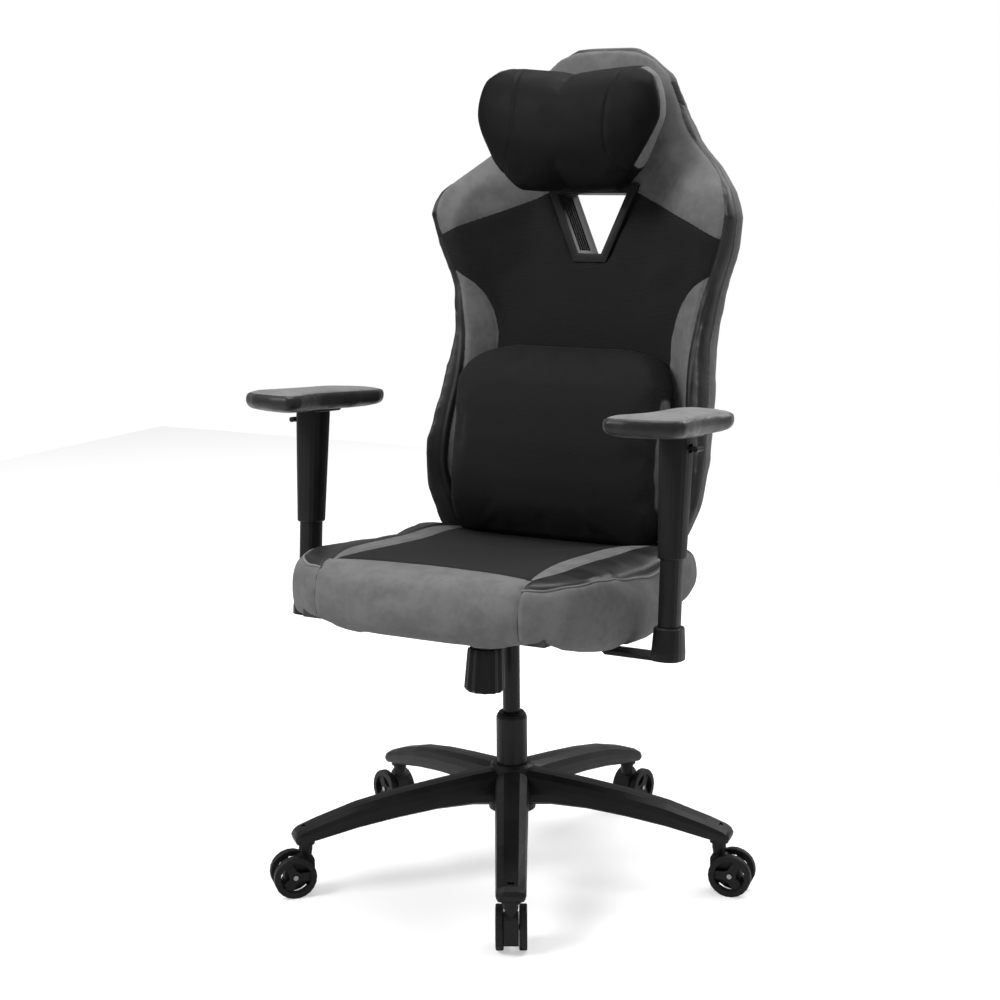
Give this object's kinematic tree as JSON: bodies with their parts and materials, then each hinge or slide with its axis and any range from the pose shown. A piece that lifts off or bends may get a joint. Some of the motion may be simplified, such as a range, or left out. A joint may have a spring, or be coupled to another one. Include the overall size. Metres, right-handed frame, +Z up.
{
  "type": "gaming chair",
  "caption": "High-backed swivel chair with a winged back, neck pillow, lumbar pad, adjustable armrests, rocking seat and a base on casters.",
  "frame": {"origin": "on the floor, under the middle of the part's bounding box", "axes": "+Z up; the sitter faces -Y; the sitter's left hand is at +X"},
  "size_m": [0.7698, 0.726, 1.3283],
  "materials": {
    "nylon": "fine-grained black moulding",
    "plastic": "satin black moulding",
    "tread": "smooth black",
    "steel": "plain",
    "black_steel": "black powder coat",
    "suede": "mottled grey suede-like leatherette with a black knit middle",
    "knit": "black knit",
    "leather": "smooth black leatherette",
    "plywood": "dark plywood"
  },
  "bodies": {
    "base": {"base_star": "nylon", "column_tube": "black_steel", "column_bush": "plastic"},
    "caster_1": {"caster_1_stem": "steel", "caster_1_fork": "plastic", "caster_1_axle": "steel"},
    "caster_1_wheel_a": {"caster_1_wheel_a": "tread"},
    "caster_1_wheel_b": {"caster_1_wheel_b": "tread"},
    "caster_2": {"caster_2_stem": "steel", "caster_2_fork": "plastic", "caster_2_axle": "steel"},
    "caster_2_wheel_a": {"caster_2_wheel_a": "tread"},
    "caster_2_wheel_b": {"caster_2_wheel_b": "tread"},
    "caster_3": {"caster_3_stem": "steel", "caster_3_fork": "plastic", "caster_3_axle": "steel"},
    "caster_3_wheel_a": {"caster_3_wheel_a": "tread"},
    "caster_3_wheel_b": {"caster_3_wheel_b": "tread"},
    "caster_4": {"caster_4_stem": "steel", "caster_4_fork": "plastic", "caster_4_axle": "steel"},
    "caster_4_wheel_a": {"caster_4_wheel_a": "tread"},
    "caster_4_wheel_b": {"caster_4_wheel_b": "tread"},
    "caster_5": {"caster_5_stem": "steel", "caster_5_fork": "plastic", "caster_5_axle": "steel"},
    "caster_5_wheel_a": {"caster_5_wheel_a": "tread"},
    "caster_5_wheel_b": {"caster_5_wheel_b": "tread"},
    "piston_rod": {"column_rod": "steel"},
    "mechanism": {"column_cylinder": "black_steel", "mechanism_housing": "black_steel", "tension_spring": "steel"},
    "height_lever": {"height_lever": "black_steel"},
    "release_button": {"release_button": "steel"},
    "tilt_lock": {"tilt_lock_lever": "black_steel"},
    "seat": {"tilt_shaft": "steel", "seat_plate": "black_steel", "tension_bolt": "steel", "seat_pan": "plywood", "seat_cushion": "suede", "back_bar": "black_steel", "back_shell": "suede", "back_cushion": "knit", "lumbar_cushion": "knit", "opening_trim": "plastic", "arm_left_bracket": "black_steel", "arm_left_post": "black_steel", "arm_right_bracket": "black_steel", "arm_right_post": "black_steel"},
    "tension_knob": {"tension_knob": "plastic"},
    "arm_left_sleeve": {"arm_left_sleeve": "plastic"},
    "arm_left_trigger": {"arm_left_trigger": "plastic"},
    "arm_left_carriage": {"arm_left_carriage": "plastic"},
    "arm_left_pad": {"arm_left_pad": "leather"},
    "arm_right_sleeve": {"arm_right_sleeve": "plastic"},
    "arm_right_trigger": {"arm_right_trigger": "plastic"},
    "arm_right_carriage": {"arm_right_carriage": "plastic"},
    "arm_right_pad": {"arm_right_pad": "leather"},
    "neck_pillow": {"neck_pillow": "knit", "pillow_strap": "leather"}
  },
  "joints": [
    {"name": "caster_1_swivel", "type": "hinge", "parent": "base", "child": "caster_1", "pos_m": [0.14775, -0.33787, 0.08165], "axis": [0, 0, 1], "continuous": true},
    {"name": "caster_2_swivel", "type": "hinge", "parent": "base", "child": "caster_2", "pos_m": [0.32703, 0.0233, 0.08165], "axis": [0, 0, 1], "continuous": true},
    {"name": "caster_3_swivel", "type": "hinge", "parent": "base", "child": "caster_3", "pos_m": [0.03894, 0.30542, 0.08165], "axis": [0, 0, 1], "continuous": true},
    {"name": "caster_4_swivel", "type": "hinge", "parent": "base", "child": "caster_4", "pos_m": [-0.31839, 0.11861, 0.08165], "axis": [0, 0, 1], "continuous": true},
    {"name": "caster_5_swivel", "type": "hinge", "parent": "base", "child": "caster_5", "pos_m": [-0.25115, -0.27896, 0.08165], "axis": [0, 0, 1], "continuous": true},
    {"name": "column_swivel", "type": "hinge", "parent": "base", "child": "piston_rod", "pos_m": [-0.01116, -0.0339, 0.26165], "axis": [0, 0, 1], "continuous": true},
    {"name": "height_slide", "type": "slide", "parent": "piston_rod", "child": "mechanism", "axis": [0, 0, 1], "range_m": [-0.09, 0]},
    {"name": "height_lever_lift", "type": "hinge", "parent": "mechanism", "child": "height_lever", "pos_m": [-0.05716, -0.0339, 0.42195], "axis": [0, 1, 0], "range_deg": [0, 5], "stiffness_Nm_per_rad": 3, "springref_deg": -14.32},
    {"name": "release_button_press", "type": "slide", "parent": "mechanism", "child": "release_button", "axis": [0, 0, -1], "range_m": [0, 0.005]},
    {"name": "tilt_lock_pull", "type": "slide", "parent": "mechanism", "child": "tilt_lock", "axis": [1, 0, 0], "range_m": [0, 0.008]},
    {"name": "rocking_tilt", "type": "hinge", "parent": "mechanism", "child": "seat", "pos_m": [-0.01116, -0.0619, 0.41365], "axis": [-1, 0, 0], "range_deg": [0, 12], "stiffness_Nm_per_rad": 150, "springref_deg": -20.05, "deforming": ["tension_spring"]},
    {"name": "tension_knob_turn", "type": "hinge", "parent": "seat", "child": "tension_knob", "pos_m": [-0.01116, -0.12079, 0.35621], "axis": [0, 0.0785, 0.9969], "continuous": true},
    {"name": "arm_left_height", "type": "slide", "parent": "seat", "child": "arm_left_sleeve", "axis": [0, 0.0785, 0.9969], "range_m": [-0.075, 0.01]},
    {"name": "arm_left_trigger_lift", "type": "hinge", "parent": "arm_left_sleeve", "child": "arm_left_trigger", "pos_m": [0.32259, -0.11155, 0.72863], "axis": [0, -0.9969, 0.0785], "range_deg": [0, 8], "stiffness_Nm_per_rad": 0.15, "springref_deg": -22.92},
    {"name": "arm_left_turn", "type": "hinge", "parent": "arm_left_sleeve", "child": "arm_left_carriage", "pos_m": [0.30559, -0.11029, 0.74458], "axis": [0, 0.0785, 0.9969], "range_deg": [-15, 15]},
    {"name": "arm_left_pad_slide", "type": "slide", "parent": "arm_left_carriage", "child": "arm_left_pad", "axis": [0, 0.9969, -0.0785], "range_m": [-0.025, 0.025]},
    {"name": "arm_right_height", "type": "slide", "parent": "seat", "child": "arm_right_sleeve", "axis": [0, 0.0785, 0.9969], "range_m": [-0.075, 0.01]},
    {"name": "arm_right_trigger_lift", "type": "hinge", "parent": "arm_right_sleeve", "child": "arm_right_trigger", "pos_m": [-0.34491, -0.11155, 0.72863], "axis": [0, 0.9969, -0.0785], "range_deg": [0, 8], "stiffness_Nm_per_rad": 0.15, "springref_deg": -22.92},
    {"name": "arm_right_turn", "type": "hinge", "parent": "arm_right_sleeve", "child": "arm_right_carriage", "pos_m": [-0.32791, -0.11029, 0.74458], "axis": [0, 0.0785, 0.9969], "range_deg": [-15, 15]},
    {"name": "arm_right_pad_slide", "type": "slide", "parent": "arm_right_carriage", "child": "arm_right_pad", "axis": [0, 0.9969, -0.0785], "range_m": [-0.025, 0.025]},
    {"name": "pillow_slide", "type": "slide", "parent": "seat", "child": "neck_pillow", "axis": [0, 0.1478, 0.989], "range_m": [0, 0.03]},
    {"name": "caster_1_wheel_a_spin", "type": "hinge", "parent": "caster_1", "child": "caster_1_wheel_a", "pos_m": [0.13802, -0.31926, 0.03365], "axis": [-0.8862, -0.4633, 0], "continuous": true},
    {"name": "caster_1_wheel_b_spin", "type": "hinge", "parent": "caster_1", "child": "caster_1_wheel_b", "pos_m": [0.13802, -0.31926, 0.03365], "axis": [-0.8862, -0.4633, 0], "continuous": true},
    {"name": "caster_2_wheel_a_spin", "type": "hinge", "parent": "caster_2", "child": "caster_2_wheel_a", "pos_m": [0.34774, 0.0268, 0.03365], "axis": [-0.1668, 0.986, 0], "continuous": true},
    {"name": "caster_2_wheel_b_spin", "type": "hinge", "parent": "caster_2", "child": "caster_2_wheel_b", "pos_m": [0.34774, 0.0268, 0.03365], "axis": [-0.1668, 0.986, 0], "continuous": true},
    {"name": "caster_3_wheel_a_spin", "type": "hinge", "parent": "caster_3", "child": "caster_3_wheel_a", "pos_m": [0.04201, 0.3262, 0.03365], "axis": [-0.9893, 0.1461, 0], "continuous": true},
    {"name": "caster_3_wheel_b_spin", "type": "hinge", "parent": "caster_3", "child": "caster_3_wheel_b", "pos_m": [0.04201, 0.3262, 0.03365], "axis": [-0.9893, 0.1461, 0], "continuous": true},
    {"name": "caster_4_wheel_a_spin", "type": "hinge", "parent": "caster_4", "child": "caster_4_wheel_a", "pos_m": [-0.3372, 0.12795, 0.03365], "axis": [-0.4446, -0.8957, 0], "continuous": true},
    {"name": "caster_4_wheel_b_spin", "type": "hinge", "parent": "caster_4", "child": "caster_4_wheel_b", "pos_m": [-0.3372, 0.12795, 0.03365], "axis": [-0.4446, -0.8957, 0], "continuous": true},
    {"name": "caster_5_wheel_a_spin", "type": "hinge", "parent": "caster_5", "child": "caster_5_wheel_a", "pos_m": [-0.26584, -0.29397, 0.03365], "axis": [0.7145, -0.6997, 0], "continuous": true},
    {"name": "caster_5_wheel_b_spin", "type": "hinge", "parent": "caster_5", "child": "caster_5_wheel_b", "pos_m": [-0.26584, -0.29397, 0.03365], "axis": [0.7145, -0.6997, 0], "continuous": true}
  ],
  "couplings": [
    {"joint": "release_button_press", "follows": "height_lever_lift", "m_per_rad": 0.05}
  ]
}
